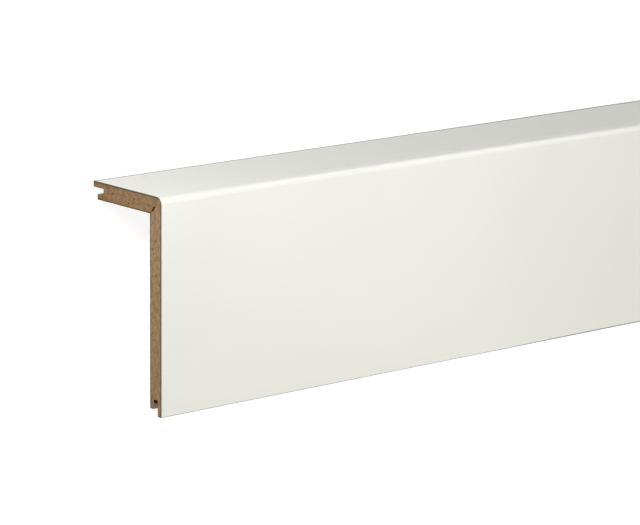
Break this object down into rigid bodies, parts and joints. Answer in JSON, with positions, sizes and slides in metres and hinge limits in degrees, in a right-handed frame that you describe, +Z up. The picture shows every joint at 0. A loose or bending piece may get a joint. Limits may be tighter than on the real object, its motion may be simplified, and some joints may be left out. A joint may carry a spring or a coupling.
{
  "type": "L-shaped cover skirting board length",
  "caption": "Stock length of L-shaped skirting board: wide front leg, short top leg, rounded outer corner, grooved free edges and a white wrapped facing.",
  "frame": {"origin": "bottom centre of the bounding box, on the floor that the length lies on", "axes": "+X along the length, +Z up as the length lies on its two free edges with its outer corner up; the wide front leg faces up and towards -Y, and the top leg faces +Y"},
  "size_m": [2.4, 0.1338, 0.0548],
  "materials": {
    "fibreboard": "matte",
    "white_facing": "satin"
  },
  "bodies": {
    "root": {"front_board": "fibreboard", "top_board": "fibreboard", "white_facing": "white_facing"}
  },
  "joints": []
}
